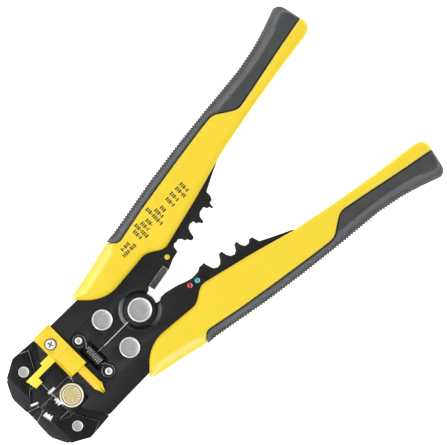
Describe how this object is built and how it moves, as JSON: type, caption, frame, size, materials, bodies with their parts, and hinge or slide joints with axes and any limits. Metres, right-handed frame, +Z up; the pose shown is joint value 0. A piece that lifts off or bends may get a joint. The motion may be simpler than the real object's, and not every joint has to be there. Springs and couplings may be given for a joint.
{
  "type": "wire stripper",
  "caption": "Hand-held self-adjusting wire stripper with sprung handles, crimping notches, side cutter, gripping jaws, sliding blades and wire stop.",
  "frame": {"origin": "centre of the flat end of the main pivot rivet that the tool lies on; the handles' flat sides are in the same plane", "axes": "+X along the centre line towards the jaws, +Y towards the handle on the knob's side, +Z up, away from the surface that the tool lies on"},
  "size_m": [0.1993, 0.1002, 0.018],
  "materials": {
    "black_steel": "satin black coating",
    "dark_steel": "blackened hard steel",
    "ground_steel": "ground",
    "rivet_steel": "turned, bright rim",
    "spring_steel": "oiled black wire",
    "yellow_shell": "moulded, satin",
    "grey_grip": "soft, ribbed",
    "yellow_stop": "moulded, smooth",
    "yellow_paint": "enamel dot",
    "colour_paint": "enamel dots, one blue and one red",
    "brass": "turned, pale"
  },
  "bodies": {
    "right_half": {"right_lever": "black_steel", "right_front_plate": "black_steel", "right_rear_plate": "black_steel", "right_handle_shell": "yellow_shell", "right_handle_grip": "grey_grip", "cutter_blade": "ground_steel", "right_spring_post": "rivet_steel", "main_pivot_rivet": "rivet_steel", "pivot_washers": "black_steel", "right_arm_rivet": "rivet_steel", "right_code_dot": "yellow_paint", "return_spring": "spring_steel"},
    "left_half": {"left_lever": "black_steel", "left_front_plate": "black_steel", "left_rear_plate": "black_steel", "left_handle_shell": "yellow_shell", "left_handle_grip": "grey_grip", "left_spring_post": "rivet_steel", "left_arm_rivet": "rivet_steel", "left_code_dots": "colour_paint"},
    "right_jaw": {"right_jaw_arm": "black_steel", "right_front_jaw_plate": "black_steel", "right_rear_jaw_plate": "black_steel", "right_grip_insert": "dark_steel", "right_jaw_rivet": "rivet_steel"},
    "left_jaw": {"left_jaw_arm": "black_steel", "left_front_jaw_plate": "black_steel", "left_rear_jaw_plate": "black_steel", "left_grip_insert": "dark_steel", "left_jaw_rivet": "rivet_steel", "knob_bracket": "black_steel", "knob_stud": "brass"},
    "right_blade_slide": {"right_blade_holder": "dark_steel", "right_strip_blade": "ground_steel"},
    "left_blade_slide": {"left_blade_holder": "dark_steel", "left_strip_blade": "ground_steel"},
    "wire_stop_slide": {"wire_stop": "yellow_stop", "wire_stop_screw": "rivet_steel", "wire_stop_nut": "rivet_steel"},
    "knob": {"adjusting_knob": "brass"}
  },
  "joints": [
    {"name": "handle_squeeze", "type": "hinge", "parent": "right_half", "child": "left_half", "pos_m": [0, 0, 0.009], "axis": [0, 0, 1], "range_deg": [0, 20], "stiffness_Nm_per_rad": 1.9, "springref_deg": -17.19, "deforming": ["return_spring"]},
    {"name": "right_jaw_pivot", "type": "hinge", "parent": "right_half", "child": "right_jaw", "pos_m": [0.0142, -0.0082, 0.009], "axis": [0, 0, 1], "range_deg": [0, 12.61]},
    {"name": "left_jaw_pivot", "type": "hinge", "parent": "left_half", "child": "left_jaw", "pos_m": [0.0142, 0.0082, 0.009], "axis": [0, 0, 1], "range_deg": [-12.61, 0]},
    {"name": "right_blade_retract", "type": "slide", "parent": "right_jaw", "child": "right_blade_slide", "axis": [-1, 0, 0], "range_m": [0, 0.0081]},
    {"name": "left_blade_retract", "type": "slide", "parent": "left_jaw", "child": "left_blade_slide", "axis": [-1, 0, 0], "range_m": [0, 0.0081]},
    {"name": "wire_stop_adjust", "type": "slide", "parent": "right_half", "child": "wire_stop_slide", "axis": [-1, 0, 0], "range_m": [0, 0.008]},
    {"name": "knob_turn", "type": "hinge", "parent": "left_jaw", "child": "knob", "pos_m": [0.0455, 0.0051, 0.016], "axis": [0, 0, 1], "continuous": true}
  ],
  "couplings": [
    {"joint": "right_jaw_pivot", "follows": "handle_squeeze", "ratio": 0.63},
    {"joint": "left_jaw_pivot", "follows": "handle_squeeze", "ratio": -0.63},
    {"joint": "right_blade_retract", "follows": "handle_squeeze", "m_per_rad": 0.0229},
    {"joint": "left_blade_retract", "follows": "handle_squeeze", "m_per_rad": 0.0229}
  ]
}
